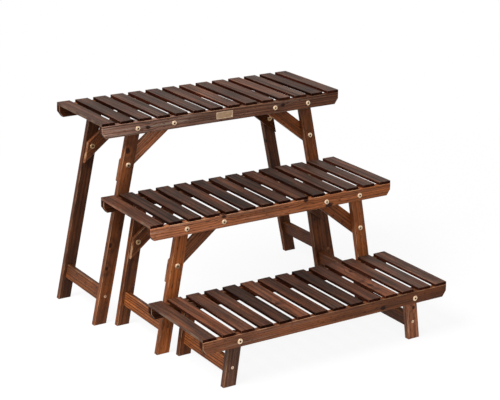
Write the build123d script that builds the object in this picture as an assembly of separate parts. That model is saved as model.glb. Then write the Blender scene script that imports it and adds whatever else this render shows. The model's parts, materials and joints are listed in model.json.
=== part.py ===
from build123d import *
import math
import os

# Three slatted benches of one length and depth but three heights, standing one in front of
# the other like stairs. X runs along the slatted top, Y from front to back, Z up.
# The origin is on the floor, at the middle of the whole set. All sizes are in millimetres.

# ---- tops ----
bench_length = 800.0
bench_depth = 290.0  # over the outer faces of both rails
slat_count = 14
slat_width = 41.0
slat_thickness = 8.0
slat_setback = 1.0  # slat end behind the rail's outer face
edge_ease = 1.5  # chamfer on the long edges of every board

# ---- heights over the slats ----
tall_height = 600.0
middle_height = 385.0
small_height = 160.0

# ---- rails ----
rail_height = 36.0
rail_thickness = 18.0
rail_cut_run = 12.0  # lower corner cut off each rail end, along the rail
rail_cut_rise = 17.0  # and up its end

# ---- leg frames: the legs lean out along the bench, a stretcher joins each pair ----
leg_width = 38.0
leg_thickness = 18.0
leg_headroom = 0.5  # top of a leg under the slats
pivot_setback = 112.0  # leg bolt from the rail's end
tall_splay = 12.0  # degrees from upright
middle_splay = 10.5  # degrees
small_splay = 8.0  # degrees
stretcher_height = 40.0
stretcher_thickness = 18.0
tall_stretcher_level = 84.0  # middle of the stretcher over the floor
middle_stretcher_level = 78.0
small_stretcher_level = 53.0

# ---- braces of the tall and middle bench ----
brace_width = 41.0
brace_thickness = 12.0
brace_setback = 229.0  # brace bolt from the rail's end
brace_reach = 110.0  # lower brace bolt under the leg bolt, along the leg
brace_drop = 2.0  # middle of the brace below the line through its two bolts
brace_inset = 3.0  # lower end of the brace inside the leg's outer edge
brace_headroom = 2.0  # upper end of the brace under the slats
spacer_size = 30.0  # square block between rail and brace

# ---- bolts and cap nuts ----
head_radius = 7.75
head_thickness = 2.4
shank_radius = 3.0
shank_shortfall = 1.0  # end of the shank inside the nut's cap
sleeve_radius = 4.3
socket_across_flats = 5.0
socket_floor = 0.4  # metal left under the hexagon socket
head_sides = 10  # facets of the many small heads
shank_sides = 8  # facets of the many shanks, sleeves and holes that nothing turns on

# ---- screws and nails ----
screw_radius = 2.0
screw_head_radius = 4.2
screw_head_rim = 0.2  # straight rim of the countersunk head
screw_bite = 26.0  # screw inside the stretcher's end grain
nail_size = 1.6
nail_length = 20.0
nail_cover = 1.0  # nail head below the slat's face

# ---- clearances ----
hole_clearance = 0.05  # radial, shanks, sleeves and screws in their holes
bench_gap = 0.3  # back rail of a lower bench to the legs in front of it
fold_gap = 0.3  # each side of a leg that folds

# A bench with braces has rigid legs. Without them each pair of legs folds in under the slats.
benches = {
    "tall": dict(
        height=tall_height, splay=tall_splay, stretcher_level=tall_stretcher_level, braced=True
    ),
    "middle": dict(
        height=middle_height, splay=middle_splay, stretcher_level=middle_stretcher_level, braced=True
    ),
    "small": dict(
        height=small_height, splay=small_splay, stretcher_level=small_stretcher_level, braced=False
    ),
}

half_length = bench_length / 2
half_depth = bench_depth / 2
slat_length = bench_depth - 2 * slat_setback
slat_pitch = (bench_length - slat_width) / (slat_count - 1)
bench_step = bench_depth - rail_thickness + bench_gap
pivot_x = -(half_length - pivot_setback)
brace_x = -(half_length - brace_setback)

sides = {"left": -1, "right": 1}
ends = {"front": -1, "back": 1}


# ---- places ----
def rail_top(bench):
    return bench["height"] - slat_thickness


def bolt_line(bench):
    """Height of the bolts in the rails. A folded leg lies level here, just under the slats."""
    return rail_top(bench) - leg_headroom - leg_width / 2


def play(bench):
    """Room on each face of a leg."""
    return 0.0 if bench["braced"] else fold_gap


def leg_point(bench, down, across=0.0):
    """X and Z of a point of the left leg: down from its bolt along it, across to the right."""
    splay = math.radians(bench["splay"])
    x = pivot_x - down * math.sin(splay) + across * math.cos(splay)
    z = bolt_line(bench) - down * math.cos(splay) - across * math.sin(splay)
    return x, z


def leg_point_at(bench, z, across=0.0):
    """The same for a point of the left leg at height z."""
    splay = math.radians(bench["splay"])
    down = (bolt_line(bench) - z - across * math.sin(splay)) / math.cos(splay)
    return leg_point(bench, down, across)


def layer(bench, board_name):
    """Y of the front and back face of one board of a front joint."""
    rail_back = -half_depth + rail_thickness
    leg_front = rail_back + play(bench)
    leg_back = leg_front + leg_thickness
    faces = {
        "rail": (-half_depth, rail_back),
        "leg": (leg_front, leg_back),
        "spacer": (leg_front, leg_back),
        "brace": (leg_back, leg_back + brace_thickness),
    }
    return faces[board_name]


def bolt_stations(bench):
    """The front left bolts, each with the boards that it clamps, from its head to its nut."""
    line = bolt_line(bench)
    stations = [dict(kind="pivot", x=pivot_x, z=line, boards=("rail", "leg"))]
    if bench["braced"]:
        x, z = leg_point(bench, brace_reach)
        stations.append(dict(kind="brace", x=brace_x, z=line, boards=("rail", "spacer", "brace")))
        stations.append(dict(kind="brace", x=x, z=z, boards=("leg", "brace")))
    return stations


def seats(bench, station):
    """Y of the seats of the bolt's head, of the nut's sleeve and of the nut's head."""
    boards = station["boards"]
    return dict(
        bolt=layer(bench, boards[0])[0],
        sleeve=layer(bench, boards[-2])[1],
        nut=layer(bench, boards[-1])[1] + play(bench),
    )


# ---- shapes ----
def at_quarter(solid, side, end):
    """Turns a solid of the front left quarter into that of another quarter."""
    if sides[side] > 0:
        solid = mirror(solid, about=Plane.YZ)
    if ends[end] > 0:
        solid = mirror(solid, about=Plane.XZ)
    return solid


def four_quarters(solid):
    return [at_quarter(solid, side, end) for side in sides for end in ends]


def board(profile, y_front, thickness):
    """Board with an X Z profile, behind y_front, with the edges of both faces eased."""
    face = Plane.XZ.offset(-y_front) * profile
    solid = extrude(face, amount=thickness, dir=(0, 1, 0))
    rims = solid.edges().group_by(Axis.Y)
    return chamfer(rims[0] + rims[-1], edge_ease)


def rod(x, z, y_front, y_back, radius, side_count):
    """Bar along Y between y_front and y_back: many-sided, or round where something turns."""
    outline = RegularPolygon(radius, side_count) if side_count else Circle(radius)
    face = Plane.XZ.offset(-y_front) * Pos(x, z) * outline
    return extrude(face, amount=y_back - y_front, dir=(0, 1, 0))


def sleeve_sides(bench):
    """A leg that folds turns on its nut's sleeve, so there both are round."""
    return shank_sides if bench["braced"] else 0


def bolt(bench, station):
    """Furniture bolt: head with a hexagon socket, and a shank that ends in the nut."""
    x, z = station["x"], station["z"]
    seat = seats(bench, station)
    front = seat["bolt"] - head_thickness
    head = rod(x, z, front, seat["bolt"], head_radius, head_sides)
    shank = rod(x, z, seat["bolt"], seat["nut"] - shank_shortfall, shank_radius, shank_sides)
    socket = rod(x, z, front, seat["bolt"] - socket_floor, socket_across_flats / math.sqrt(3), 6)
    return head + shank - socket


def cap_nut(bench, station):
    """Cap nut: round head and a bored sleeve that lines the innermost board."""
    x, z = station["x"], station["z"]
    seat = seats(bench, station)
    head = rod(x, z, seat["nut"], seat["nut"] + head_thickness, head_radius, head_sides)
    sleeve = rod(x, z, seat["sleeve"], seat["nut"], sleeve_radius, sleeve_sides(bench))
    bore = rod(x, z, seat["sleeve"], seat["nut"], shank_radius + hole_clearance, shank_sides)
    return head + sleeve - bore


def bored(solid, bench, board_name):
    """Bores a board of the front left quarter for the bolts and nuts that go through it."""
    front, back = layer(bench, board_name)
    for station in bolt_stations(bench):
        x, z = station["x"], station["z"]
        if board_name == station["boards"][-1]:
            solid -= rod(x, z, front, back, sleeve_radius + hole_clearance, sleeve_sides(bench))
        elif board_name in station["boards"]:
            solid -= rod(x, z, front, back, shank_radius + hole_clearance, shank_sides)
    return solid


def screw_shape(bench, grow):
    """Countersunk screw through the front left leg, into the stretcher's end."""
    x, z = leg_point_at(bench, bench["stretcher_level"])
    front, back = layer(bench, "leg")
    cone_depth = (screw_head_radius - screw_radius) * math.cos(math.pi / shank_sides)
    neck = front + screw_head_rim + cone_depth
    head = rod(x, z, front, neck, screw_head_radius + grow, shank_sides)
    head = chamfer(head.edges().group_by(Axis.Y)[-1], cone_depth)
    return head + rod(x, z, neck, back + screw_bite, screw_radius + grow, shank_sides)


# ---- pieces of the front left quarter, and whole rows ----
def front_rail(bench):
    """Rail with both lower corners cut off."""
    top = rail_top(bench)
    low = top - rail_height
    cut_x = half_length - rail_cut_run
    outline = Polyline(
        (-half_length, top),
        (half_length, top),
        (half_length, low + rail_cut_rise),
        (cut_x, low),
        (-cut_x, low),
        (-half_length, low + rail_cut_rise),
        close=True,
    )
    solid = bored(board(make_face(outline), -half_depth, rail_thickness), bench, "rail")
    return mirror(bored(mirror(solid, about=Plane.YZ), bench, "rail"), about=Plane.YZ)


def slats(bench):
    """Row of separate slats across both rails, with the edges of their tops eased."""
    floor = (Align.CENTER, Align.CENTER, Align.MIN)
    blank = Box(slat_width, slat_length, slat_thickness, align=floor)
    slat = chamfer(blank.faces().sort_by(Axis.Z)[-1].edges(), edge_ease)
    first = -half_length + slat_width / 2
    return [Pos(first + i * slat_pitch, 0, rail_top(bench)) * slat for i in range(slat_count)]


def nails(bench):
    """One nail for each crossing of a slat and a rail, driven below the slat's face."""
    y = half_depth - rail_thickness / 2
    first = -half_length + slat_width / 2
    nail = Box(nail_size, nail_size, nail_length, align=(Align.CENTER, Align.CENTER, Align.MAX))
    top = bench["height"] - nail_cover
    back_row = [Pos(first + i * slat_pitch, y, top) * nail for i in range(slat_count)]
    return back_row + [mirror(each, about=Plane.XZ) for each in back_row]


def front_left_leg(bench):
    """Leg with a level foot. Its top is square outside and rounded about the bolt inside."""
    half = leg_width / 2
    top = bolt_line(bench) + half
    foot_outer = leg_point_at(bench, 0, -half)
    foot_inner = leg_point_at(bench, 0, half)
    top_inner = leg_point(bench, 0, half)
    top_outer = leg_point_at(bench, top, -half)
    top_middle = (pivot_x, top)
    outline = Curve() + [
        Line(foot_inner, top_inner),
        RadiusArc(top_inner, top_middle, -half),
        Line(top_middle, top_outer),
        Line(top_outer, foot_outer),
        Line(foot_outer, foot_inner),
    ]
    solid = board(make_face(outline), layer(bench, "leg")[0], leg_thickness)
    return bored(solid, bench, "leg") - screw_shape(bench, hole_clearance)


def left_stretcher(bench):
    """Board between the front and back legs of one end, tilted as they are."""
    length = -2 * layer(bench, "leg")[1]
    blank = Box(stretcher_thickness, length, stretcher_height)
    blank = chamfer(blank.edges().filter_by(Axis.Y), edge_ease)
    x, z = leg_point_at(bench, bench["stretcher_level"])
    return Pos(x, 0, z) * Rot(0, bench["splay"], 0) * blank


def front_left_brace(bench):
    """Diagonal board: lower end cut along the leg, upper end cut level under the slats."""
    low_x, low_z = leg_point(bench, brace_reach)
    run = brace_x - low_x
    rise = bolt_line(bench) - low_z
    turn = Rot(0, 0, math.degrees(math.atan2(rise, run)))
    strip = Rectangle(2 * math.hypot(run, rise), brace_width)
    strip = Pos(low_x + run / 2, low_z + rise / 2) * turn * Pos(0, -brace_drop) * strip
    ceiling = rail_top(bench) - brace_headroom
    leg_edge = brace_inset - leg_width / 2
    room = Polyline(
        leg_point_at(bench, ceiling, leg_edge),
        leg_point_at(bench, 0, leg_edge),
        (0, 0),
        (0, ceiling),
        close=True,
    )
    solid = board(strip & make_face(room), layer(bench, "brace")[0], brace_thickness)
    return bored(solid, bench, "brace")


def front_left_spacer(bench):
    """Block between the rail and the brace, as thick as the leg beside it."""
    front, back = layer(bench, "spacer")
    block = Box(spacer_size, back - front, spacer_size, align=(Align.CENTER, Align.MIN, Align.CENTER))
    return bored(Pos(brace_x, front, bolt_line(bench)) * block, bench, "spacer")


def bench_pieces(name, bench):
    """Every node of one bench, by name, in the bench's own place."""
    pieces = {"slats": slats(bench), "slat_nails": nails(bench)}
    rail = front_rail(bench)
    leg = front_left_leg(bench)
    stretcher = left_stretcher(bench)
    screw = screw_shape(bench, 0)
    for end in ends:
        pieces[f"{end}_rail"] = [at_quarter(rail, "left", end)]
    for side in sides:
        pieces[f"{side}_stretcher"] = [at_quarter(stretcher, side, "front")]
        pieces[f"{side}_stretcher_screws"] = [at_quarter(screw, side, end) for end in ends]
        for end in ends:
            pieces[f"{end}_{side}_leg"] = [at_quarter(leg, side, end)]
    for station in bolt_stations(bench):
        kind = station["kind"]
        pieces.setdefault(f"{kind}_bolts", []).extend(four_quarters(bolt(bench, station)))
        pieces.setdefault(f"{kind}_nuts", []).extend(four_quarters(cap_nut(bench, station)))
    if bench["braced"]:
        brace = front_left_brace(bench)
        pieces["spacers"] = four_quarters(front_left_spacer(bench))
        for side in sides:
            for end in ends:
                pieces[f"{end}_{side}_brace"] = [at_quarter(brace, side, end)]
    return {f"{name}_{piece}": solids for piece, solids in pieces.items()}


os.makedirs("parts", exist_ok=True)
for index, (name, bench) in enumerate(benches.items()):
    place = Pos(0, (1 - index) * bench_step, 0)
    for node, solids in bench_pieces(name, bench).items():
        placed = [place * solid for solid in solids]
        shape = placed[0] if len(placed) == 1 else Compound(children=placed)
        export_step(shape, f"parts/{node}.step")
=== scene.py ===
import json
import math
import random
import bmesh
import bpy
from mathutils import Matrix, Vector, noise


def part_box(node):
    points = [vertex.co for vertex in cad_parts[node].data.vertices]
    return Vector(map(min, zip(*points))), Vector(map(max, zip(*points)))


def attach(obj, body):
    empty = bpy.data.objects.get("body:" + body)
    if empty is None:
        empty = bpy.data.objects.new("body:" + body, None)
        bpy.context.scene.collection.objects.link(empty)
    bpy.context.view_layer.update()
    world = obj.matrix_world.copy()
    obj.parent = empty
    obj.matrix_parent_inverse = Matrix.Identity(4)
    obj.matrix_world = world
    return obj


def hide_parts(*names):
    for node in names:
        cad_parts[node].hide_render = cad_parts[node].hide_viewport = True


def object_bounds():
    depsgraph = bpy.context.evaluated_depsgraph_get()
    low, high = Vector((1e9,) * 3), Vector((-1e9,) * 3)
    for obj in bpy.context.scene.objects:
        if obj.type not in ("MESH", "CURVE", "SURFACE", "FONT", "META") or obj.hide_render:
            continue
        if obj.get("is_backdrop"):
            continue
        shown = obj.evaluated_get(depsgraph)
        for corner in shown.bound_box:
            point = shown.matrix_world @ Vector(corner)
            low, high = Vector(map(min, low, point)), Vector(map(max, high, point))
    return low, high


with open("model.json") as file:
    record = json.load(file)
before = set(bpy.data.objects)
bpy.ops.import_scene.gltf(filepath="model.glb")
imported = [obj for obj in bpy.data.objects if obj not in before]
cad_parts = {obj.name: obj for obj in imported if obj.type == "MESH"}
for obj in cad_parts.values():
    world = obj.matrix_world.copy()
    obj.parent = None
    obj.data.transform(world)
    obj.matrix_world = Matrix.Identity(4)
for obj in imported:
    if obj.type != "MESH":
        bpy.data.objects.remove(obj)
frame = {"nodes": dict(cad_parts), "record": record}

# Three slatted benches of carbonised fir with brass furniture bolts.
# Metres, in the frame of the solids: X along the tops, Y from front to back, Z up.
cadLow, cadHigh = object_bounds()
scene = bpy.context.scene
mm = 0.001
noiseLow, noiseHigh = 0.3, 0.7  # most of a noise lies between these values
benches = ("tall", "middle", "small")

bodyOf = {}
for bodyName, nodeNames in frame["record"]["behaviour"]["bodies"].items():
    for nodeName in nodeNames:
        bodyOf[nodeName] = bodyName


def kindOf(nodeName):  # the last word of a node's name, such as leg or bolts
    return nodeName.rsplit("_", 1)[-1]


def colour(hexText):  # sRGB hex to linear
    parts = [int(hexText[i:i + 2], 16) / 255 for i in (1, 3, 5)]
    return [p / 12.92 if p <= 0.04045 else ((p + 0.055) / 1.055) ** 2.4 for p in parts] + [1.0]


def addNode(tree, kind, inputs=None, **settings):  # inputs takes values and other nodes' sockets
    node = tree.nodes.new("ShaderNode" + kind)
    for name, value in settings.items():
        setattr(node, name, value)
    for name, value in (inputs or {}).items():
        if isinstance(value, bpy.types.NodeSocket):
            tree.links.new(value, node.inputs[name])
        else:
            node.inputs[name].default_value = value
    return node


def newMaterial(name):
    material = bpy.data.materials.new(name)
    material.use_nodes = True
    tree = material.node_tree
    tree.nodes.clear()
    surface = addNode(tree, "BsdfPrincipled")
    addNode(tree, "OutputMaterial", {"Surface": surface.outputs["BSDF"]})
    return material, tree, surface


def addObject(name, shape, materials):  # a bmesh becomes an object
    mesh = bpy.data.meshes.new(name)
    shape.to_mesh(mesh)
    shape.free()
    for material in materials:
        mesh.materials.append(material)
    made = bpy.data.objects.new(name, mesh)
    scene.collection.objects.link(made)
    return made


def addPiece(name, nodeName, shape, materials):  # an object that stands for a node
    piece = addObject(name, shape, materials)
    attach(piece, bodyOf[nodeName])
    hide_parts(nodeName)
    return piece


def smoothShade(piece, sharpAngle):
    piece.data.shade_smooth()
    piece.data.set_sharp_from_angle(angle=math.radians(sharpAngle))
    weigh = piece.modifiers.new("even shading", "WEIGHTED_NORMAL")
    weigh.keep_sharp = True


def joinRings(shape, rings, materialIndex=0):  # a band of faces from each ring of points to the next
    for near, far in zip(rings, rings[1:]):
        for i in range(len(near)):
            j = (i + 1) % len(near)
            shape.faces.new((near[i], near[j], far[j], far[i])).material_index = materialIndex


def boxOf(shape):
    low = Vector(min(v.co[i] for v in shape.verts) for i in range(3))
    high = Vector(max(v.co[i] for v in shape.verts) for i in range(3))
    return low, high


def inOrder(elements):  # a set has no order of its own, and the same run has to give the same mesh
    return sorted(elements, key=lambda element: element.index)


def looseSolids(nodeName):  # the separate solids of a node, each as a welded bmesh
    whole = bmesh.new()
    whole.from_mesh(frame["nodes"][nodeName].data)
    bmesh.ops.remove_doubles(whole, verts=whole.verts, dist=0.001 * mm)
    whole.verts.index_update()
    whole.faces.index_update()
    found = []
    seen = set()
    for start in whole.verts:
        if start.index in seen:
            continue
        island, frontier = {start}, [start]
        while frontier:
            vertex = frontier.pop()
            for link in vertex.link_edges:
                other = link.other_vert(vertex)
                if other not in island:
                    island.add(other)
                    frontier.append(other)
        seen.update(vertex.index for vertex in island)
        solid = bmesh.new()
        copies = {vertex: solid.verts.new(vertex.co) for vertex in inOrder(island)}
        for face in inOrder({face for vertex in island for face in vertex.link_faces}):
            solid.faces.new([copies[vertex] for vertex in face.verts])
        solid.normal_update()
        found.append(solid)
    whole.free()
    return sorted(found, key=lambda solid: tuple(boxOf(solid)[0]))


def solidBoxes(nodeName):
    boxes = []
    for solid in looseSolids(nodeName):
        boxes.append(boxOf(solid))
        solid.free()
    return boxes


# wood: fir, carbonised with a flame, brushed and oiled
# The flame darkens the hard late wood more than the soft early wood, so each year ring is a dark line on
# a lighter ground. Edges are rubbed lighter, partly as a painted highlight; end grain drinks the oil and is
# nearly black, and the same dark is laid on as painted shade in the slats' gaps and under the tops.
woodLook = {
    "ringSpacing": 6.5,  # mm; real rings are 2 to 4 mm, drawn coarser to show
    "ringWander": 3.0,  # mm, to either side
    "ringUneven": 1.4,  # rings, how far they stray from an even spacing
    "unevenSize": 1000 / 45,  # mm, over which the spacing changes
    "season": ((0.0, 0.1), (0.45, 0.0), (0.72, 0.75), (0.86, 1.0), (1.0, 0.15)),  # time of the year, darkness
    # noise drawn out along the grain: mm along the board, mm across it, detail, roughness, and the two
    # values between which the mark goes from its least to its most
    "wander": (1000 / 3, 1000 / 16, 2.0, 0.5, 0.25, 0.75),
    "fibre": (1000 / 9, 2.2, 3.0, 0.6, noiseLow, noiseHigh),  # real ones are far finer, drawn coarser to show
    "streak": (400.0, 9.0, 2.0, 0.5, noiseLow, noiseHigh),
    "blotch": (140.0, 70.0, 2.0, 0.5, noiseLow, noiseHigh),
    "patch": (400 / 3, 40.0, 3.0, 0.6, noiseLow, noiseHigh),  # where the flame left more of the wood's colour
    "brush": (200.0, 6.0, 1.0, 0.5, 0.54, 0.68),  # pale lines where the brush went through the char
    "fleck": (14.0, 1000 / 420, 0.0, 0.5, 0.66, 0.76),  # of char
    "worn": (1000 / 22, 1000 / 30, 2.0, 0.5, 0.42, 0.6),  # where the edges are rubbed, and their painted highlight shows
    "brushMost": 0.5,
    "fleckMost": 0.7,
    "fibreMost": 0.16,  # share of the lightness
    "streakLift": 1.2,  # a streak lightens this much more than it darkens
    "knotSize": 5.5,  # mm, radius
    "knotFade": (0.7, 1.4),  # shares of the radius between which a knot fades out
    "knotDark": 0.95,
    "knotSquash": (0.72, 1.0, 0.0),  # a knot is longer along the board than across it
    "knotWobble": 2.5,  # mm, how far its outline goes in and out
    "wobbleSize": 1000 / 90,  # mm
    "knotReach": 32.0,  # mm, within which the rings bend round it
    "knotBend": 6.0,  # mm
    "charAndShadeDark": 0.93,
    "fibreSmooth": 0.07,  # how far the fibres move the roughness down and up
    "fibreRough": 0.1,
    "reliefStrength": 0.6,
    "ior": 1.5,
}
knotNames = ("knotOne", "knotTwo", "knotThree")


def woodMaterial(
    name, cool, warm, grey, pale, line, rubbed, char, ringStrength, streakStrength,
    blotchStrength, patchStrength, edgeWearAndHighlight, roughness, shine, bumpDepth
):
    material, tree, surface = newMaterial(name)
    stored = {  # what markBoard keeps on the mesh
        layer: addNode(tree, "Attribute", attribute_name=layer).outputs
        for layer in ("grain", "tone", "figure", "charAndPaintedShade", "rubbed") + knotNames
    }
    grain = stored["grain"]["Vector"]
    tone = addNode(tree, "SeparateXYZ", {"Vector": stored["tone"]["Vector"]}).outputs

    # the patterns, each from its least to its most
    wander, fibreMost = woodLook["ringWander"] * mm, woodLook["fibreMost"]
    raw, mapped = {}, {}
    for kind, least, most in (
        ("wander", -wander, wander), ("patch", -patchStrength, patchStrength),
        ("brush", 0.0, woodLook["brushMost"]), ("fleck", 0.0, woodLook["fleckMost"]), ("worn", 0.0, edgeWearAndHighlight),
        ("streak", 1 - streakStrength, 1 + woodLook["streakLift"] * streakStrength),
        ("blotch", 1 - blotchStrength, 1 + blotchStrength), ("fibre", 1 - fibreMost, 1 + fibreMost),
    ):
        alongSize, acrossSize, detail, unevenness, start, end = woodLook[kind]
        rates = (1 / (alongSize * mm), 1 / (acrossSize * mm), 1 / (acrossSize * mm))
        place = addNode(tree, "VectorMath", {0: grain, 1: rates}, operation="MULTIPLY").outputs[0]
        raw[kind] = addNode(
            tree, "TexNoise", {"Vector": place, "Scale": 1.0, "Detail": detail, "Roughness": unevenness}
        ).outputs["Fac"]
        mapped[kind] = addNode(
            tree, "MapRange", {0: raw[kind], 1: start, 2: end, 3: least, 4: most}
        ).outputs[0]

    # knots: the rings bend round them, and the knot itself is dark
    wobble = woodLook["knotWobble"] * mm
    wobbleNoise = addNode(
        tree, "TexNoise", {"Vector": grain, "Scale": 1 / (woodLook["wobbleSize"] * mm), "Detail": 1.0}
    ).outputs["Fac"]
    wobbleBy = addNode(
        tree, "Math", {0: wobbleNoise, 1: 2 * wobble, 2: -wobble}, operation="MULTIPLY_ADD"
    ).outputs[0]
    knotDistance = None
    for layer in knotNames:
        away = {0: stored[layer]["Vector"], 1: woodLook["knotSquash"]}
        shaped = addNode(tree, "VectorMath", away, operation="MULTIPLY").outputs[0]
        length = addNode(tree, "VectorMath", {0: shaped}, operation="LENGTH").outputs["Value"]
        length = addNode(tree, "Math", {0: length, 1: wobbleBy}, operation="ADD").outputs[0]
        if knotDistance is not None:
            length = addNode(tree, "Math", {0: knotDistance, 1: length}, operation="MINIMUM").outputs[0]
        knotDistance = length
    bend = addNode(
        tree, "MapRange",
        {0: knotDistance, 1: 0.0, 2: woodLook["knotReach"] * mm, 3: woodLook["knotBend"] * mm, 4: 0.0},
        interpolation_type="SMOOTHERSTEP",
    ).outputs[0]
    inner, outer = (share * woodLook["knotSize"] * mm for share in woodLook["knotFade"])
    knotMask = addNode(
        tree, "MapRange", {0: knotDistance, 1: inner, 2: outer, 3: woodLook["knotDark"], 4: 0.0},
        interpolation_type="SMOOTHSTEP",
    ).outputs[0]

    # year rings: distance from the pith, which lies outside the board
    flat = addNode(tree, "VectorMath", {0: grain, 1: (0.0, 1.0, 1.0)}, operation="MULTIPLY").outputs[0]
    radius = addNode(tree, "VectorMath", {0: flat}, operation="LENGTH").outputs["Value"]
    radius = addNode(tree, "Math", {0: radius, 1: mapped["wander"]}, operation="ADD").outputs[0]
    radius = addNode(tree, "Math", {0: radius, 1: bend}, operation="ADD").outputs[0]
    uneven = addNode(
        tree, "TexNoise", {"W": radius, "Scale": 1 / (woodLook["unevenSize"] * mm), "Detail": 1.0},
        noise_dimensions="1D",
    ).outputs["Fac"]
    uneven = addNode(tree, "Math", {0: uneven, 1: woodLook["ringUneven"]}, operation="MULTIPLY").outputs[0]
    year = addNode(tree, "Math", {0: radius, 1: woodLook["ringSpacing"] * mm}, operation="DIVIDE").outputs[0]
    year = addNode(tree, "Math", {0: year, 1: uneven}, operation="ADD").outputs[0]
    season = addNode(tree, "Math", {0: year}, operation="FRACT").outputs[0]
    ramp = addNode(tree, "ValToRGB", {"Fac": season})
    stops = ramp.color_ramp.elements
    for place, dark in woodLook["season"]:
        if place in (0, 1):  # a new ramp has a stop at each end
            stop = stops[0 if place == 0 else len(stops) - 1]
        else:
            stop = stops.new(place)
        stop.color = (dark, dark, dark, 1)
    ring = ramp.outputs["Color"]

    # shares of the colours that lie over the wood's own
    ringBy = addNode(tree, "Math", {0: ring, 1: ringStrength}, operation="MULTIPLY").outputs[0]
    ringBy = addNode(tree, "Math", {0: ringBy, 1: stored["figure"]["Fac"]}, operation="MULTIPLY").outputs[0]
    brushBy = addNode(tree, "Math", {0: mapped["brush"], 1: tone["Z"]}, operation="MULTIPLY").outputs[0]
    # rounded edges lightened: real wear, and a painted highlight along the edges
    wearAndHighlightBy = addNode(
        tree, "Math", {0: stored["rubbed"]["Fac"], 1: mapped["worn"]}, operation="MULTIPLY"
    ).outputs[0]
    # char at end grain and slanting cuts, and painted shade in the gaps and under the tops, from one layer
    charAndShadeBy = addNode(
        tree, "Math", {0: stored["charAndPaintedShade"]["Fac"], 1: woodLook["charAndShadeDark"]}, operation="MULTIPLY"
    ).outputs[0]

    # colour: warmer in patches, then what lies over it, from the lowest to the highest
    warmBy = addNode(
        tree, "Math", {0: tone["Y"], 1: mapped["patch"]}, operation="ADD", use_clamp=True
    ).outputs[0]
    paint = addNode(
        tree, "MixRGB", {"Fac": warmBy, "Color1": colour(cool), "Color2": colour(warm)}
    ).outputs[0]
    for share, over in (
        (tone["Z"], grey), (ringBy, line), (brushBy, pale), (mapped["fleck"], char),
        (wearAndHighlightBy, rubbed), (knotMask, char), (charAndShadeBy, char),
    ):
        paint = addNode(tree, "MixRGB", {"Fac": share, "Color1": paint, "Color2": colour(over)}).outputs[0]

    # lightness: streaks, blotches, fibres and the board's own
    level = mapped["streak"]
    for other in (mapped["blotch"], mapped["fibre"], tone["X"]):
        level = addNode(tree, "Math", {0: level, 1: other}, operation="MULTIPLY").outputs[0]
    lit = addNode(tree, "VectorMath", {0: paint, "Scale": level}, operation="SCALE").outputs[0]
    tree.links.new(lit, surface.inputs["Base Color"])

    # gloss and relief: brushing leaves the dark lines proud and the early wood hollow
    smooth, rough = roughness - woodLook["fibreSmooth"], roughness + woodLook["fibreRough"]
    gloss = addNode(
        tree, "MapRange", {0: raw["fibre"], 1: noiseLow, 2: noiseHigh, 3: smooth, 4: rough}
    ).outputs[0]
    tree.links.new(gloss, surface.inputs["Roughness"])
    relief = addNode(tree, "Math", {0: ring, 1: raw["fibre"]}, operation="ADD").outputs[0]
    bump = addNode(
        tree, "Bump", {"Strength": woodLook["reliefStrength"], "Distance": bumpDepth * mm, "Height": relief}
    ).outputs[0]
    tree.links.new(bump, surface.inputs["Normal"])
    surface.inputs["Specular IOR Level"].default_value = shine
    surface.inputs["IOR"].default_value = woodLook["ior"]
    return material


# rubbed is the colour of worn edges, which also stands for a painted highlight
slatFinish = dict(
    cool="#48342A", warm="#6E3F28", grey="#6A584E", pale="#7C6C62", line="#241610", rubbed="#7A604E",
    char="#2C1007", ringStrength=0.62, streakStrength=0.52, blotchStrength=0.34, patchStrength=0.42,
    edgeWearAndHighlight=0.5, roughness=0.58, bumpDepth=0.3,
)
boardFinish = dict(
    cool="#46291C", warm="#8C4E26", grey="#8C695A", pale="#D8C0B0", line="#1A0D08", rubbed="#A98566",
    char="#241008", ringStrength=0.78, streakStrength=0.3, blotchStrength=0.26, patchStrength=0.3,
    edgeWearAndHighlight=0.5, roughness=0.52, bumpDepth=0.35,
)
# brushed and oiled faces keep a little gloss; charred faces and end grain are matt, and so are the faces with
# painted shade in the slats' gaps and under the tops
slatWood = woodMaterial("fir slat, carbonised and brushed", shine=0.16, **slatFinish)
mattSlatForCharAndShade = woodMaterial("fir slat, matt, for char and painted shade", shine=0.01, **slatFinish)
boardWood = woodMaterial("fir board, carbonised and oiled", shine=0.13, **boardFinish)
mattBoardForCharAndShade = woodMaterial("fir board, matt, for char and painted shade", shine=0.01, **boardFinish)
print("wood ready")

grainLook = {
    "straightPith": (0.1, 0.16),  # m from a straight-grained board to the pith, to either side
    "plainPith": (-0.05, 0.05),  # m, the same of other boards
    "pithDepth": (0.02, 0.09),  # m above or below the board
    "straightRunOut": (-0.012, 0.012),  # slant of the grain
    "plainRunOut": (-0.03, 0.03),
    "start": (0, 40),  # m along the log
    "lightVaries": (0.96, 1.04),  # no two boards take the flame alike
    "warmthVaries": (-0.06, 0.06),
    "noKnot": (9, 9, 9),  # m, far from any knot
    "facing": 0.8,  # cosine over which a face looks along an axis
    "roughlyFacing": 0.6,  # the same for a charred front or side
    "notEnd": 0.5,  # cosine with the length under which a face is no end
    "slanting": 0.3,  # a slanting cut has more than this with the length, less with the thickness
    "flat": 0.97,  # up to this cosine with every axis a face belongs to a rounded edge
    "outermost": 0.35,  # m from the middle; the outer sides of the last slats stay brown and are rubbed lighter, partly as a painted highlight
    "outerChar": 0.1,
    "outerWearAndHighlight": 1.6,
    "mattFrom": 0.45,  # a face darker than this, from char and painted shade alike, is matt
}


def variedTone(light, warmth, grey, chance):
    return (
        light * chance.uniform(*grainLook["lightVaries"]),
        min(1.0, max(0.0, warmth + chance.uniform(*grainLook["warmthVaries"]))),
        grey,
    )


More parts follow.
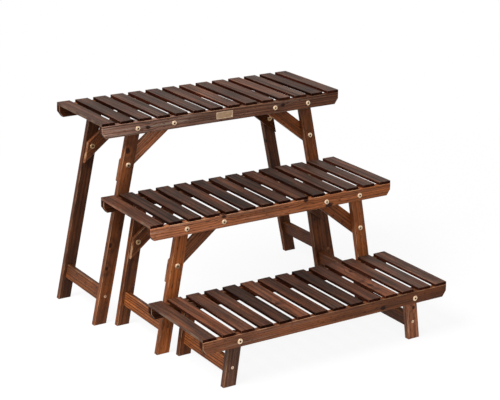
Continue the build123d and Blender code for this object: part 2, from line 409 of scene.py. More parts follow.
def markBoard(
    shape, along, across, thick, chance, tone, knots=(), straight=False, rightTone=None,
    figure=1.0, gapCharAndShade=0.0, frontPaintedShade=0.0, sidePaintedShade=0.0, cutChar=0.0
):
    # stores the board's own grain directions, its tone and its knots on the mesh, for the wood material
    low, high = boxOf(shape)
    middle = (low + high) / 2
    length = high.x - low.x
    grain = shape.verts.layers.float_vector.new("grain")
    toneLayer = shape.verts.layers.float_vector.new("tone")
    knotLayers = [shape.verts.layers.float_vector.new(name) for name in knotNames]
    figureLayer = shape.faces.layers.float.new("figure")
    charAndShadeLayer = shape.faces.layers.float.new("charAndPaintedShade")
    wearAndHighlightLayer = shape.faces.layers.float.new("rubbed")
    if straight:
        pithSide = chance.choice((-1, 1)) * chance.uniform(*grainLook["straightPith"])
    else:
        pithSide = chance.uniform(*grainLook["plainPith"])
    pithDepth = chance.choice((-1, 1)) * chance.uniform(*grainLook["pithDepth"])
    runOut = chance.uniform(*grainLook["straightRunOut" if straight else "plainRunOut"])
    start = chance.uniform(*grainLook["start"])
    for vertex in shape.verts:
        place = vertex.co - middle
        x, y, z = place.dot(along), place.dot(across), place.dot(thick)
        share = (vertex.co.x - low.x) / length
        vertex[grain] = Vector((x + start, y + pithSide + runOut * x, z + pithDepth))
        vertex[toneLayer] = Vector(tone).lerp(Vector(rightTone or tone), share)
        for index, layer in enumerate(knotLayers):
            if index < len(knots):
                away = (vertex.co - Vector(knots[index][:3]) * mm) / knots[index][3]
                vertex[layer] = Vector((away.dot(along), away.dot(across), 0))
            else:
                vertex[layer] = Vector(grainLook["noKnot"])
    facing, slanting = grainLook["facing"], grainLook["slanting"]
    for face in shape.faces:
        endwise, sideways, through = (abs(face.normal.dot(axis)) for axis in (along, across, thick))
        inGap = gapCharAndShade > 0 and sideways > facing
        outside = inGap and face.normal.x * middle.x > 0 and abs(middle.x) > grainLook["outermost"]
        char = 0.0
        if endwise > facing:
            char = 1.0
        elif outside:
            char = grainLook["outerChar"]
        # sides facing a neighbouring slat: char, deepened as painted shade between the slats
        elif inGap:
            char = gapCharAndShade
        if slanting < endwise <= facing and through < slanting:  # a slanting cut
            char = cutChar
        # fronts of parts under the tops are darkened as painted shade
        if frontPaintedShade and endwise < grainLook["notEnd"] and face.normal.y < -grainLook["roughlyFacing"]:
            char = frontPaintedShade
        # the sides of some legs are darkened as painted shade
        if sidePaintedShade and endwise < grainLook["notEnd"] and sideways > grainLook["roughlyFacing"]:
            char = sidePaintedShade
        # rounded edges are rubbed lighter, partly real wear and partly a painted highlight
        rubbed = 0.0 if max(endwise, sideways, through) > grainLook["flat"] else 1.0
        # char holds real char at ends and cuts, and painted shade in the gaps, on fronts and on some sides
        face[charAndShadeLayer] = char
        face.material_index = 1 if char > grainLook["mattFrom"] else 0
        face[figureLayer] = figure
        face[wearAndHighlightLayer] = grainLook["outerWearAndHighlight"] if outside else rubbed


slatLook = {
    "edgeRound": 0.7,  # mm
    "lowerRound": 0.3,  # mm
    "arcStep": 30,  # degrees between the points of a rounded edge
    "steps": 12,  # along a slat
    "sharpAngle": 50,  # degrees
    "endWander": 1.0,  # mm, how far an end may stay short
    "endSkew": 0.6,  # mm, how far it may be out of square
    "endDrop": 0.6,  # how far an end's upper edge goes down, as a share of how far it is rounded
    "endRise": 0.15,  # the same for its lower edge
    "endNarrow": 0.6,  # share of the edge's rounding by which an end may narrow
    "edgeWander": 0.2,  # mm
    "edgeWaves": 14,  # per metre
    "edgeApart": 7,  # keeps the two edges of a slat from wandering alike
    "drift": 0.6,  # mm, how far a slat may lie beside its place
    # stain of each slat from left to right: nearly black, dark, brown, warm brown, grey, red, orange,
    # light, and i for a pale brown
    "order": {"tall": "bbbgggbrdrrgdl", "middle": "oddbwdbdwdbgll", "small": "rorwnowdnwoill"},
    "stain": {
        "n": (0.45, 0.35), "d": (0.64, 0.35), "b": (0.72, 0.42), "w": (0.68, 0.66), "g": (1.02, 0.15),
        "r": (1.04, 0.5), "o": (1.05, 0.8), "l": (1.28, 0.2), "i": (1.04, 0.4),
    },
    "light": {"tall": 0.78, "middle": 0.74, "small": 0.8},
    "grey": {"tall": 0.15, "middle": 0.03, "small": 0.0},
    "gapCharAndShade": {"tall": 1.08, "middle": 1.0, "small": 1.0},  # of the sides in the gaps: charred, and darkened further as painted shade between the slats; over 1 is bare char
    "knots": {  # mm, and how large
        "small": [(-102, -308.1, 160, 1), (197.2, -327.6, 160, 1.3), (212, -215, 160, 0.8)],
    },
}


def slatShape(low, high, chance):
    # a bar with rounded edges; its rings shrink at both ends and wander a little inwards
    width, top = high.x - low.x, high.z
    middle, middleHeight = (low.x + high.x) / 2, (low.z + top) / 2
    edgeRound, lowerRound = slatLook["edgeRound"] * mm, slatLook["lowerRound"] * mm
    corners = [
        (high.x - edgeRound, top - edgeRound, edgeRound, 0),
        (low.x + edgeRound, top - edgeRound, edgeRound, 90),
        (low.x + lowerRound, low.z + lowerRound, lowerRound, 180),
        (high.x - lowerRound, low.z + lowerRound, lowerRound, 270),
    ]
    turns = range(0, 91, slatLook["arcStep"])
    outline = []
    for x, z, radius, first in corners:
        for turn in turns:
            angle = math.radians(first + turn)
            outline.append((x + radius * math.cos(angle), z + radius * math.sin(angle)))
    wander = slatLook["endWander"] * mm
    frontY = low.y + chance.uniform(0, wander)
    backY = high.y - chance.uniform(0, wander)
    skew = chance.uniform(-slatLook["endSkew"], slatLook["endSkew"]) * mm / width
    rounding = [
        (edgeRound * (1 - math.sin(math.radians(turn))), edgeRound * (1 - math.cos(math.radians(turn))))
        for turn in turns
    ]
    rows = [(frontY + inY, inset) for inset, inY in rounding]
    for step in range(1, slatLook["steps"]):
        share = step / slatLook["steps"]
        rows.append((frontY + edgeRound + share * (backY - frontY - 2 * edgeRound), 0.0))
    rows += [(backY - inY, inset) for inset, inY in reversed(rounding)]
    shape = bmesh.new()
    rings = []
    seed = chance.uniform(0, 100)
    for y, inset in rows:
        ring = []
        for x, z in outline:
            side = 1 if x > middle else -1
            along = Vector((seed + side * slatLook["edgeApart"], y * slatLook["edgeWaves"], 0))
            rub = slatLook["edgeWander"] * mm * (0.5 + 0.5 * noise.noise(along))
            newX = x - side * (min(inset, slatLook["endNarrow"] * edgeRound) + rub)
            newZ = z - inset * slatLook["endDrop"] if z > middleHeight else z + inset * slatLook["endRise"]
            ring.append(shape.verts.new((newX, y + skew * (x - middle), newZ)))
        rings.append(ring)
    joinRings(shape, rings)
    shape.faces.new(list(reversed(rings[0])))
    shape.faces.new(rings[-1])
    bmesh.ops.recalc_face_normals(shape, faces=shape.faces)
    return shape


for bench in benches:
    nodeName = bench + "_slats"
    order = slatLook["order"][bench]
    for index, (low, high) in enumerate(solidBoxes(nodeName)):
        chance = random.Random(f"{bench} slat {index}")
        if 0 < index < len(order) - 1:
            aside = chance.uniform(-1, 1) * slatLook["drift"] * mm
            low.x, high.x = low.x + aside, high.x + aside
        light, warmth = slatLook["stain"][order[index]]
        tone = variedTone(light * slatLook["light"][bench], warmth, slatLook["grey"][bench], chance)
        knots = [knot for knot in slatLook["knots"].get(bench, ()) if low.x <= knot[0] * mm <= high.x]
        shape = slatShape(low, high, chance)
        markBoard(
            shape, Vector((0, 1, 0)), Vector((1, 0, 0)), Vector((0, 0, 1)), chance, tone, knots,
            gapCharAndShade=slatLook["gapCharAndShade"][bench],
        )
        name = f"{bench}_slat_{index + 1}"
        piece = addPiece(name, nodeName, shape, (slatWood, mattSlatForCharAndShade))
        smoothShade(piece, slatLook["sharpAngle"])
print("slats ready")


# frame boards: rails, legs, stretchers, braces and spacers
boardLook = {
    "kinds": ("rail", "leg", "stretcher", "brace", "spacers"),
    "straight": ("rail", "brace", "stretcher"),  # kinds cut with straight grain
    "edgeRound": 0.45,  # mm more than the chamfer
    "edgeSegments": 2,
    "edgeAngle": 20,  # degrees, from which an edge is one of the board's own
    "flatWithin": 1,  # degrees, below which two faces are one
    "sharpAngle": 40,  # degrees
    "holeReach": 6.5,  # mm from a bolt's axis within which an edge belongs to its hole
    # lightness, warmth and greyness of a board, by its name or by its kind; the front-left braces and the
    # middle bench's front-left leg are lightened as painted light against the shade they stand in
    "tone": {
        "rail": (1.0, 0.35, 0.0), "leg": (0.9, 0.35, 0.0), "stretcher": (1.0, 0.5, 0.0),
        "brace": (0.9, 0.4, 0.0), "spacers": (0.8, 0.4, 0.0),
        "tall_front_rail": (1.03, 0.3, 0.9), "middle_front_rail": (1.58, 0.75, 0.25),
        "small_front_rail": (1.2, 0.55, 0.15), "middle_front_left_leg": (1.25, 0.7, 0.0),
        "middle_front_right_leg": (1.4, 0.65, 0.0), "tall_front_right_leg": (0.92, 0.6, 0.0),
        "tall_front_left_leg": (0.92, 0.45, 0.0),
        "small_front_right_leg": (1.32, 0.85, 0.25), "small_left_stretcher": (1.05, 0.85, 0.0),
        "middle_left_stretcher": (0.85, 0.85, 0.0), "tall_left_stretcher": (0.52, 0.75, 0.0),
        "tall_front_left_brace": (1.7, 0.8, 0.2), "middle_front_left_brace": (1.4, 0.65, 0.1),
        "tall_front_right_brace": (1.35, 0.5, 0.0), "middle_front_right_brace": (1.2, 0.6, 0.0),
        "small_front_left_leg": (0.85, 0.2, 0.2), "tall_back_left_leg": (0.8, 0.35, 0.0),
        "tall_right_stretcher": (0.7, 0.55, 0.0), "small_right_stretcher": (0.6, 0.6, 0.0),
        "middle_right_stretcher": (0.8, 0.5, 0.0),
    },
    # the same at the right end, of boards that change along their length
    "rightTone": {
        "tall_front_rail": (0.5, 0.65, 0.1), "middle_front_rail": (1.02, 1.0, 0.05),
        "small_front_rail": (0.74, 0.45, 0.0),
    },
    # how plainly the rings show, how far the flame charred the slanting cuts, and how much painted shade
    # darkens the fronts under the tops and some legs' sides
    "figure": {
        "rail": 0.85, "leg": 0.55, "stretcher": 0.8, "brace": 0.7, "spacers": 0.7,
        "middle_front_rail": 0.75, "small_front_rail": 0.5, "middle_left_stretcher": 1.2,
        "small_left_stretcher": 1.2, "tall_front_left_brace": 0.9, "middle_right_stretcher": 0.4,
    },
    # painted shade on the fronts of the back rails, back legs, a brace and a stretcher, under the tops
    "frontPaintedShade": {
        "tall_back_rail": 0.8, "middle_back_rail": 0.75, "small_back_rail": 0.5, "tall_back_left_leg": 0.3,
        "tall_back_right_leg": 0.3, "tall_back_right_brace": 0.6, "middle_right_stretcher": 0.3,
    },
    # painted shade on these legs' sides, setting them off from their lightened fronts
    "sidePaintedShade": {"middle_front_left_leg": 0.45, "tall_back_left_leg": 0.15},
    "cutChar": {
        "rail": 0.35, "tall_front_left_brace": 0.8, "middle_front_left_brace": 0.6,
        "tall_back_right_brace": 0.5,
    },
    "knots": {  # mm, and how large
        "tall_front_left_leg": [
            (-311, 145.3, 507.7, 1.1), (-372, 145.3, 236.5, 0.9), (-386, 145.3, 167.3, 0.8),
        ],
        "tall_back_right_leg": [(312, 381.3, 448.7, 1), (306, 381.3, 387.8, 0.8)],
        "tall_front_right_leg": [(342, 145.3, 428, 1.2)],
        "tall_front_rail": [(198.4, 127.3, 577.8, 0.9), (-256, 127.3, 571.6, 0.9)],
        "middle_front_rail": [(181, -145, 345, 1.5), (-171.7, -145, 373, 1), (100, -145, 374, 1)],
        "small_front_rail": [(176, -417.3, 126.8, 1.1)],
        "small_front_right_leg": [(299, -399.3, 96, 0.7)],
    },
}


def boltAxes(bench):  # X, Z of everything that goes through the boards of one bench
    axes = []
    for nodeName in frame["nodes"]:
        if nodeName.startswith(bench) and kindOf(nodeName) in ("bolts", "screws"):
            for low, high in solidBoxes(nodeName):
                axes.append(((low.x + high.x) / 2, (low.z + high.z) / 2))
    return axes


def boardEdges(shape):  # without the lines between faces that are nearly flat to each other
    return [edge for edge in shape.edges if edge.calc_face_angle(0) > math.radians(boardLook["edgeAngle"])]


def placeKey(verts):  # decides between edges or faces that are as large as each other
    middle = sum((vertex.co for vertex in verts), Vector()) / len(verts)
    return tuple(round(part, 4) for part in middle)


def boardDirections(shape):  # along the longest edge, and through the widest face
    longest = max(boardEdges(shape), key=lambda edge: (round(edge.calc_length(), 5), placeKey(edge.verts)))
    along = (longest.verts[1].co - longest.verts[0].co).normalized()
    if max(along, key=abs) < 0:
        along.negate()
    widest = max(shape.faces, key=lambda face: (round(face.calc_area(), 6), placeKey(face.verts)))
    thick = widest.normal.copy()
    return along, thick.cross(along), thick


def ofBoard(key, nodeName, otherwise=None):  # a value by the board's name, or by its kind
    values = boardLook[key]
    return values.get(nodeName, values.get(kindOf(nodeName), otherwise))


def roundEdges(shape, axes):  # all but the rims of the holes
    reach = boardLook["holeReach"] * mm
    worn = []
    for edge in boardEdges(shape):
        middle = (edge.verts[0].co + edge.verts[1].co) / 2
        if not any(math.hypot(middle.x - x, middle.z - z) < reach for x, z in axes):
            worn.append(edge)
    bmesh.ops.bevel(
        shape, geom=worn, offset=boardLook["edgeRound"] * mm, offset_type="OFFSET",
        segments=boardLook["edgeSegments"], profile=0.5, affect="EDGES", clamp_overlap=True,
    )
    shape.normal_update()


for bench in benches:
    axes = boltAxes(bench)
    for nodeName in sorted(frame["nodes"]):
        if not nodeName.startswith(bench) or kindOf(nodeName) not in boardLook["kinds"]:
            continue
        solids = looseSolids(nodeName)
        for index, shape in enumerate(solids):
            chance = random.Random(f"{nodeName} {index}")
            bmesh.ops.dissolve_limit(
                shape, angle_limit=math.radians(boardLook["flatWithin"]), verts=shape.verts, edges=shape.edges
            )
            shape.normal_update()
            along, across, thick = boardDirections(shape)
            roundEdges(shape, axes)
            markBoard(
                shape, along, across, thick, chance, variedTone(*ofBoard("tone", nodeName), chance),
                boardLook["knots"].get(nodeName, ()), straight=kindOf(nodeName) in boardLook["straight"],
                rightTone=boardLook["rightTone"].get(nodeName), figure=ofBoard("figure", nodeName, 1.0),
                frontPaintedShade=ofBoard("frontPaintedShade", nodeName, 0.0), sidePaintedShade=ofBoard("sidePaintedShade", nodeName, 0.0),
                cutChar=ofBoard("cutChar", nodeName, 0.0),
            )
            name = nodeName + "_wood" if len(solids) == 1 else f"{nodeName}_wood_{index + 1}"
            piece = addPiece(name, nodeName, shape, (boardWood, mattBoardForCharAndShade))
            smoothShade(piece, boardLook["sharpAngle"])
print("frame boards ready")


# brass: turned and tumbled bolt heads, cap nuts and screws
brassLook = {
    "headRadius": 7.75,  # mm
    "headHeight": 2.4,  # mm
    "rimHeight": 0.8,  # mm
    "rimEase": (0.985, 0.35),  # where the seat's edge is broken: share of the radius, and of the rim's height
    "domeSteps": 6,
    "domeShare": 0.62,  # how far in the dome goes on, as a share of the radius
    "socketFlats": 5.0,  # mm
    "socketDepth": 1.9,  # mm
    "socketBevel": (1.16, 0.35),  # how much wider the socket is at its mouth, and how deep the bevel is, mm
    "shankRadius": 3.0,  # mm
    "screwRadius": 4.2,  # mm
    "screwShank": 1.9,  # mm
    "screwSunk": 2.2,  # mm
    "screwRise": 0.3,  # mm
    "screwLip": 0.2,  # mm
    "screwTip": (0.3, 3.0),  # the tip's radius as a share of the shank's, and its length, mm
    "crownSteps": 4,
    "crownStep": 0.12,  # share of the radius
    "crossArm": 1.9,  # mm
    "crossHalfWidth": 0.24,  # share of the arm
    "crossBevel": (0.92, 0.3),  # share of the arm below the bevel, and how deep the bevel is, mm
    "crossFoot": 0.5,  # share of the arm at the bottom
    "crossDepth": 1.6,  # mm
    "sides": 48,
    "sharpAngle": 35,  # degrees
    "smudgeSize": 6.25,  # mm
    "smudgeSmooth": 0.08,  # how far the smudges move the roughness down and up
    "smudgeRough": 0.12,
    "stained": ("middle_left", "middle_right", "tall_right"),  # whose screws the flame and oil darkened
}


def brassMaterial(name, bright, dull, roughness):
    # warm metal with a soft shine, darker and duller in smudges
    material, tree, surface = newMaterial(name)
    place = addNode(tree, "TexCoord").outputs["Object"]
    smudge = addNode(
        tree, "TexNoise", {"Vector": place, "Scale": 1 / (brassLook["smudgeSize"] * mm), "Detail": 3.0}
    ).outputs["Fac"]
    smooth, rough = roughness - brassLook["smudgeSmooth"], roughness + brassLook["smudgeRough"]
    gloss = addNode(
        tree, "MapRange", {0: smudge, 1: noiseLow, 2: noiseHigh, 3: smooth, 4: rough}
    ).outputs[0]
    tree.links.new(gloss, surface.inputs["Roughness"])
    tint = addNode(
        tree, "MixRGB", {"Fac": smudge, "Color1": colour(bright), "Color2": colour(dull)}
    ).outputs[0]
    tree.links.new(tint, surface.inputs["Base Color"])
    surface.inputs["Metallic"].default_value = 1.0
    return material


# heads are pale and bright, screws duller, and nuts duller still, partly cast brass and partly painted shade
# for the back legs they sit on; burnt oil turns some screws brown, and the recesses take a brass that is
# partly oily and partly painted shade
brass = brassMaterial("brass, turned and tumbled", "#FFEAD0", "#CDA070", 0.26)
# a darker copy of the brass: dull cast nuts, and painted shade for the back legs where they sit
dullBrassWithShade = brassMaterial("brass, cast or rolled, dull and darkened as painted shade", "#D2B088", "#94734E", 0.42)
screwBrass = brassMaterial("brass screw, rolled and tumbled", "#F2D6BA", "#C6A280", 0.36)
stainedBrass = brassMaterial("brass screw, darkened by flame and oil", "#8E6446", "#5E3E28", 0.5)
recessShadeBrass = brassMaterial("brass, oily and darkened as painted shade in the socket", "#6A5230", "#3A2A1A", 0.5)


def turnedRing(shape, centre, facing, radiusAt, height, sides):  # points about the bolt's axis
    ring = []
    for i in range(sides):
        angle = 2 * math.pi * i / sides
        radius = radiusAt(angle)
        place = Vector((radius * math.cos(angle), facing * height, radius * math.sin(angle)))
        ring.append(shape.verts.new(centre + place))
    return ring


def addTurned(shape, centre, facing, profile, sides):  # revolves (radius, height) points
    rings = [
        turnedRing(shape, centre, facing, lambda angle: radius, height, sides)
        for radius, height in profile
    ]
    joinRings(shape, rings)
    return rings


def hexagonAt(angle):  # of 1 mm apothem
    return 1 / math.cos(angle - math.radians(60) * round(angle / math.radians(60)))


def crossAt(angle):  # of 1 mm arms
    c, s, half = abs(math.cos(angle)) + 1e-6, abs(math.sin(angle)) + 1e-6, brassLook["crossHalfWidth"]
    return max(min(1 / c, half / s), min(half / c, 1 / s))


def addHead(shape, centre, facing, profile, outline, recess):
    # a turned head with a recess of the given outline; recess lists (scale, depth below the top) in mm
    sides = brassLook["sides"]
    rings = addTurned(shape, centre, facing, profile, sides)
    shape.faces.new(rings[0])
    top = profile[-1][1]
    edges = [
        turnedRing(shape, centre, facing, lambda angle: outline(angle) * scale * mm, top - depth * mm, sides)
        for scale, depth in recess
    ]
    joinRings(shape, [rings[-1], edges[0]])
    # recess faces take the second, darker brass: oil and painted shade in the hollow
    joinRings(shape, edges, materialIndex=1)
    floor = shape.verts.new(centre + Vector((0, facing * (top - recess[-1][1] * mm), 0)))
    for i in range(sides):
        shape.faces.new((edges[-1][i], edges[-1][(i + 1) % sides], floor)).material_index = 1


def addBolt(shape, centre, facing, length):  # domed head with a hexagon socket; centre lies in its seat
    radius, height, rim, shank = (
        brassLook[key] * mm for key in ("headRadius", "headHeight", "rimHeight", "shankRadius")
    )
    easeRadius, easeHeight = brassLook["rimEase"]
    profile = [(shank, -length), (shank, 0), (radius * easeRadius, 0), (radius, rim * easeHeight)]
    for step in range(brassLook["domeSteps"] + 1):
        share = 1 - brassLook["domeShare"] * step / brassLook["domeSteps"]
        profile.append((radius * share, rim + (height - rim) * math.sqrt(1 - share ** 3)))
    apothem = brassLook["socketFlats"] / 2
    wider, bevelDepth = brassLook["socketBevel"]
    recess = [(apothem * wider, 0), (apothem, bevelDepth), (apothem, brassLook["socketDepth"])]
    addHead(shape, centre, facing, profile, hexagonAt, recess)


def addScrew(shape, centre, facing, length):  # raised head with a cross recess; centre lies in its face
    radius, shank, sunk, rise, lip = (
        brassLook[key] * mm for key in ("screwRadius", "screwShank", "screwSunk", "screwRise", "screwLip")
    )
    tipShare, tipLength = brassLook["screwTip"]
    profile = [
        (shank * tipShare, -length), (shank, -length + tipLength * mm), (shank, -sunk),
        (radius, -lip), (radius, 0),
    ]
    for step in range(1, brassLook["crownSteps"] + 1):
        share = 1 - brassLook["crownStep"] * step
        profile.append((radius * share, rise * (1 - share ** 2)))
    arm = brassLook["crossArm"]
    narrower, bevelDepth = brassLook["crossBevel"]
    recess = [(arm, 0), (arm * narrower, bevelDepth), (arm * brassLook["crossFoot"], brassLook["crossDepth"])]
    addHead(shape, centre, facing, profile, crossAt, recess)


benchMiddle = {}
for bench in benches:
    low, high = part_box(bench + "_slats")
    benchMiddle[bench] = (low.y + high.y) / 2

for nodeName in sorted(frame["nodes"]):
    kind = kindOf(nodeName)
    if kind not in ("bolts", "nuts", "screws"):
        continue
    bench = nodeName.split("_")[0]
    shape = bmesh.new()
    for low, high in solidBoxes(nodeName):
        front = (low.y + high.y) / 2 < benchMiddle[bench]
        outward = 1 if front == (kind == "nuts") else -1
        height = 0 if kind == "screws" else brassLook["headHeight"] * mm
        seat = low.y + height if outward < 0 else high.y - height
        length = high.y - low.y - height
        centre = Vector(((low.x + high.x) / 2, seat, (low.z + high.z) / 2))
        (addScrew if kind == "screws" else addBolt)(shape, centre, outward, length)
    bmesh.ops.recalc_face_normals(shape, faces=shape.faces)
    finish = {"bolts": brass, "nuts": dullBrassWithShade, "screws": screwBrass}[kind]
    if kind == "screws" and nodeName.startswith(brassLook["stained"]):
        finish = stainedBrass
    piece = addPiece(nodeName + "_brass", nodeName, shape, (finish, recessShadeBrass))
    smoothShade(piece, brassLook["sharpAngle"])
print("bolts and screws ready")

# small bare plate on the tall bench's front rail: stamped brass, aged to a pale tan
plateLook = {
    "centre": (-4.5, 575.0),  # mm, X and Z
    "width": 56.0,  # mm
    "height": 21.0,  # mm
    "thickness": 1.2,  # mm
    "rim": 2.0,  # mm, raised edge
    "rimHeight": 0.5,  # mm
    "rimSlope": 0.3,  # mm
    "edgeUpright": 0.8,  # share of the thickness below the bevel
    "edgeBevel": 0.25,  # mm
    "cornerRound": 1.6,  # mm
    "leastRound": 0.2,  # mm, of the inner corners
    "cornerSteps": 4,
    "pinRadius": 1.3,  # mm
    "pinHeight": 0.55,  # share of its radius
    "pinSunk": 0.3,  # mm
    "pinTurns": (0, 25, 50, 75),  # degrees up its dome
    "pinSides": 20,
    "pinInset": 4.2,  # mm
    "sharpAngle": 30,  # degrees
    "brushSize": (1000 / 60, 1000 / 60, 1000 / 1800),  # mm; real lines are finer, drawn coarser to show
    "stainSize": 1000 / 120,  # mm
    "roughness": (0.38, 0.6),
    "brushDepth": 0.1,  # mm
    "brushStrength": 0.3,
}


def plateOutline(shape, y, inset, cornerRound):
    halfWidth = plateLook["width"] / 2 * mm - inset
    halfHeight = plateLook["height"] / 2 * mm - inset
    centreX, centreZ = (place * mm for place in plateLook["centre"])
    ring = []
    for corner, (signX, signZ) in enumerate(((1, 1), (-1, 1), (-1, -1), (1, -1))):
        for step in range(plateLook["cornerSteps"] + 1):
            angle = math.radians(90 * corner + 90 / plateLook["cornerSteps"] * step)
            x = centreX + signX * (halfWidth - cornerRound) + cornerRound * math.cos(angle)
            z = centreZ + signZ * (halfHeight - cornerRound) + cornerRound * math.sin(angle)
            ring.append(shape.verts.new((x, y, z)))
    return ring


def plateMaterial(name, bright, dull):
    # aged brass sheet: pale, brushed along its length, darker in the stamped field where dirt gathers
    material, tree, surface = newMaterial(name)
    place = addNode(tree, "TexCoord").outputs["Object"]
    rates = tuple(1 / (size * mm) for size in plateLook["brushSize"])
    brushed = addNode(tree, "VectorMath", {0: place, 1: rates}, operation="MULTIPLY").outputs[0]
    lines = addNode(tree, "TexNoise", {"Vector": brushed, "Scale": 1.0, "Detail": 2.0}).outputs["Fac"]
    stain = addNode(
        tree, "TexNoise", {"Vector": place, "Scale": 1 / (plateLook["stainSize"] * mm), "Detail": 3.0}
    ).outputs["Fac"]
    tint = addNode(
        tree, "MixRGB", {"Fac": stain, "Color1": colour(bright), "Color2": colour(dull)}
    ).outputs[0]
    smooth, rough = plateLook["roughness"]
    gloss = addNode(
        tree, "MapRange", {0: lines, 1: noiseLow, 2: noiseHigh, 3: smooth, 4: rough}
    ).outputs[0]
    depth = plateLook["brushDepth"] * mm
    bump = addNode(
        tree, "Bump", {"Strength": plateLook["brushStrength"], "Distance": depth, "Height": lines}
    ).outputs[0]
    tree.links.new(tint, surface.inputs["Base Color"])
    tree.links.new(gloss, surface.inputs["Roughness"])
    tree.links.new(bump, surface.inputs["Normal"])
    surface.inputs["Metallic"].default_value = 1.0
    return material


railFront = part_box("tall_front_rail")[0].y
plateShape = bmesh.new()
thickness, rim, rimHeight, rimSlope, edgeBevel, cornerRound, leastRound = (
    plateLook[key] * mm
    for key in ("thickness", "rim", "rimHeight", "rimSlope", "edgeBevel", "cornerRound", "leastRound")
)
plateFace = railFront - thickness
fieldFace = plateFace + rimHeight
levels = [
    (railFront, 0.0), (railFront - thickness * plateLook["edgeUpright"], 0.0), (plateFace, edgeBevel),
    (plateFace, rim), (fieldFace, rim + rimSlope),
]
rings = [plateOutline(plateShape, y, inset, max(leastRound, cornerRound - inset)) for y, inset in levels]
joinRings(plateShape, rings)
plateShape.faces.new(rings[0])
plateShape.faces.new(rings[-1]).material_index = 1
radius = plateLook["pinRadius"] * mm
dome = [(radius, -plateLook["pinSunk"] * mm)]
for turn in plateLook["pinTurns"]:
    angle = math.radians(turn)
    dome.append((radius * math.cos(angle), plateLook["pinHeight"] * radius * math.sin(angle)))
for signX in (-1, 1):
    for signZ in (-1, 1):
        pin = Vector((
            (plateLook["centre"][0] + signX * (plateLook["width"] / 2 - plateLook["pinInset"])) * mm,
            fieldFace,
            (plateLook["centre"][1] + signZ * (plateLook["height"] / 2 - plateLook["pinInset"])) * mm,
        ))
        pinRings = addTurned(plateShape, pin, -1, dome, plateLook["pinSides"])
        plateShape.faces.new(pinRings[0])
        plateShape.faces.new(pinRings[-1])
bmesh.ops.recalc_face_normals(plateShape, faces=plateShape.faces)
rubbedPlate = plateMaterial("brass sheet, stamped and rubbed", "#E4CDB2", "#B8967A")
agedPlate = plateMaterial("brass sheet, stamped and aged", "#C4A88A", "#947458")
plate = addObject("tall_plate", plateShape, (rubbedPlate, agedPlate))
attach(plate, "tall_bench")
smoothShade(plate, plateLook["sharpAngle"])
print("plate ready")

# nails: bright drawn steel with a fine grey shine, under the slats' faces
nailLook = {
    "colour": "#B9B7B2",
    "grainSize": 2.5,  # mm
    "roughness": (0.35, 0.6),
}
steel, steelTree, steelSurface = newMaterial("steel nail, drawn and blunt")
steelPlace = addNode(steelTree, "TexCoord").outputs["Object"]
steelNoise = addNode(
    steelTree, "TexNoise", {"Vector": steelPlace, "Scale": 1 / (nailLook["grainSize"] * mm), "Detail": 2.0}
).outputs["Fac"]
smooth, rough = nailLook["roughness"]
steelGloss = addNode(steelTree, "MapRange", {0: steelNoise, 3: smooth, 4: rough}).outputs[0]
steelTree.links.new(steelGloss, steelSurface.inputs["Roughness"])
steelSurface.inputs["Base Color"].default_value = colour(nailLook["colour"])
steelSurface.inputs["Metallic"].default_value = 1.0
for nodeName, node in frame["nodes"].items():
    if kindOf(nodeName) == "nails":
        node.data.materials.clear()
        node.data.materials.append(steel)
print("nails ready")

studioLook = {
    "floorSize": 14.0,  # m
    "floorDrop": 0.2,  # mm below the feet
    "floorColour": "#C9C7C4",
    "keyPlace": (-3.9, -0.7, 4.6),  # m
    "fillPlace": (-0.6, -3.6, 2.2),
    "lampTarget": (0, 0, 0.25),
    "keySize": 3.4,  # m
    "fillSize": 2.4,  # m
    "keyPower": 520.0,  # W
    "fillPower": 34.0,  # W
    "skyLevel": 0.3,
    "glossShare": 0.75,  # how white the floor and the sky look in a shiny face
    "shadowShare": 0.1,  # how much of the floor near the object answers to light, so that its shadow shows
    "shadowFade": (0.8, 2.4),  # m from the middle, between which that share goes down to nothing
}


def raysThatSee(tree):  # those that see the studio directly, and those off shiny faces by a share
    rays = addNode(tree, "LightPath").outputs
    direct = addNode(
        tree, "Math", {0: rays["Is Camera Ray"], 1: rays["Is Transmission Ray"]}, operation="MAXIMUM"
    ).outputs[0]
    shiny = addNode(
        tree, "Math", {0: rays["Is Glossy Ray"], 1: studioLook["glossShare"]}, operation="MULTIPLY"
    ).outputs[0]
    return direct, shiny


# pale matt floor; what the camera and shiny faces see of it is lifted to white, with the shadow kept
paper = bpy.data.materials.new("paper floor, matt white")
paper.use_nodes = True
paperTree = paper.node_tree
paperTree.nodes.clear()
direct, shiny = raysThatSee(paperTree)
seen = addNode(paperTree, "Math", {0: direct, 1: shiny}, operation="MAXIMUM").outputs[0]
spot = addNode(paperTree, "TexCoord").outputs["Object"]
spot = addNode(paperTree, "VectorMath", {0: spot}, operation="LENGTH").outputs["Value"]
start, end = studioLook["shadowFade"]
near = addNode(
    paperTree, "MapRange", {0: spot, 1: start, 2: end, 3: studioLook["shadowShare"], 4: 0.0}
).outputs[0]
rest = addNode(paperTree, "Math", {0: 1.0, 1: near}, operation="SUBTRACT").outputs[0]
lift = addNode(paperTree, "Math", {0: seen, 1: rest}, operation="MULTIPLY").outputs[0]
glow = addNode(paperTree, "Emission", {"Color": (1, 1, 1, 1), "Strength": lift}).outputs[0]
matt = addNode(paperTree, "BsdfDiffuse", {"Color": colour(studioLook["floorColour"])}).outputs[0]
shade = addNode(paperTree, "BsdfDiffuse", {"Color": (1, 1, 1, 1)}).outputs[0]
nothing = addNode(paperTree, "Emission", {"Strength": 0.0}).outputs[0]
shade = addNode(paperTree, "MixShader", {0: near, 1: nothing, 2: shade}).outputs[0]
cover = addNode(paperTree, "MixShader", {0: seen, 1: matt, 2: shade}).outputs[0]
both = addNode(paperTree, "AddShader", {0: cover, 1: glow}).outputs[0]
addNode(paperTree, "OutputMaterial", {"Surface": both})

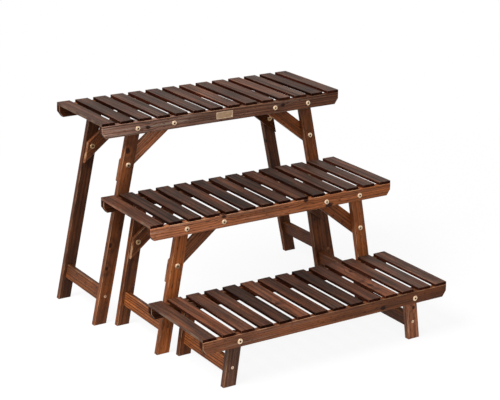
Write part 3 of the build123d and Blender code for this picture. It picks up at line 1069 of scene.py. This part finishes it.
floorShape = bmesh.new()
bmesh.ops.create_grid(floorShape, x_segments=1, y_segments=1, size=studioLook["floorSize"] / 2)
floor = addObject("studioFloor", floorShape, (paper,))
floor.location = (0, 0, cadLow.z - studioLook["floorDrop"] * mm)
floor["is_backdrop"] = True

world = bpy.data.worlds.new("studio")
world.use_nodes = True
skyTree = world.node_tree
skyTree.nodes.clear()
direct, shiny = raysThatSee(skyTree)
level = addNode(skyTree, "MapRange", {0: direct, 3: studioLook["skyLevel"], 4: 1.0}).outputs[0]
level = addNode(skyTree, "Math", {0: level, 1: shiny}, operation="MAXIMUM").outputs[0]
sky = addNode(skyTree, "Background", {"Color": (1, 1, 1, 1), "Strength": level}).outputs[0]
addNode(skyTree, "OutputWorld", {"Surface": sky})
scene.world = world


def addSoftbox(name, place, size, power):
    lamp = bpy.data.lights.new(name, "AREA")
    lamp.shape = "SQUARE"
    lamp.size = size
    lamp.energy = power
    holder = bpy.data.objects.new(name, lamp)
    holder.location = place
    direction = Vector(studioLook["lampTarget"]) - Vector(place)
    holder.rotation_euler = direction.to_track_quat("-Z", "Y").to_euler()
    scene.collection.objects.link(holder)


addSoftbox("keySoftbox", studioLook["keyPlace"], studioLook["keySize"], studioLook["keyPower"])
addSoftbox("fillSoftbox", studioLook["fillPlace"], studioLook["fillSize"], studioLook["fillPower"])

cameraLook = {
    "target": (0.1194, 0.1794, 0.28),
    "distance": 4.3962,  # m
    "turn": 32.615,  # degrees round the object to its left
    "tilt": 18.206,  # degrees down
    "roll": 0.646,  # degrees
    "lens": 104.553,  # mm
    "sensor": 36.0,  # mm
}
turn, tilt, roll = (math.radians(cameraLook[key]) for key in ("turn", "tilt", "roll"))
forward = Vector((math.sin(turn) * math.cos(tilt), math.cos(turn) * math.cos(tilt), -math.sin(tilt)))
levelRight = Vector((math.cos(turn), -math.sin(turn), 0))
levelUp = levelRight.cross(forward)
right = levelRight * math.cos(roll) + levelUp * math.sin(roll)
up = levelUp * math.cos(roll) - levelRight * math.sin(roll)
place = Vector(cameraLook["target"]) - forward * cameraLook["distance"]
cameraData = bpy.data.cameras.new("camera")
cameraData.sensor_width = cameraLook["sensor"]
cameraData.lens = cameraLook["lens"]
camera = bpy.data.objects.new("camera", cameraData)
camera.matrix_world = Matrix((
    (right.x, up.x, -forward.x, place.x),
    (right.y, up.y, -forward.y, place.y),
    (right.z, up.z, -forward.z, place.z),
    (0, 0, 0, 1),
))
scene.collection.objects.link(camera)
scene.camera = camera
scene.view_settings.view_transform = "Standard"
print("studio ready")

low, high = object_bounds()
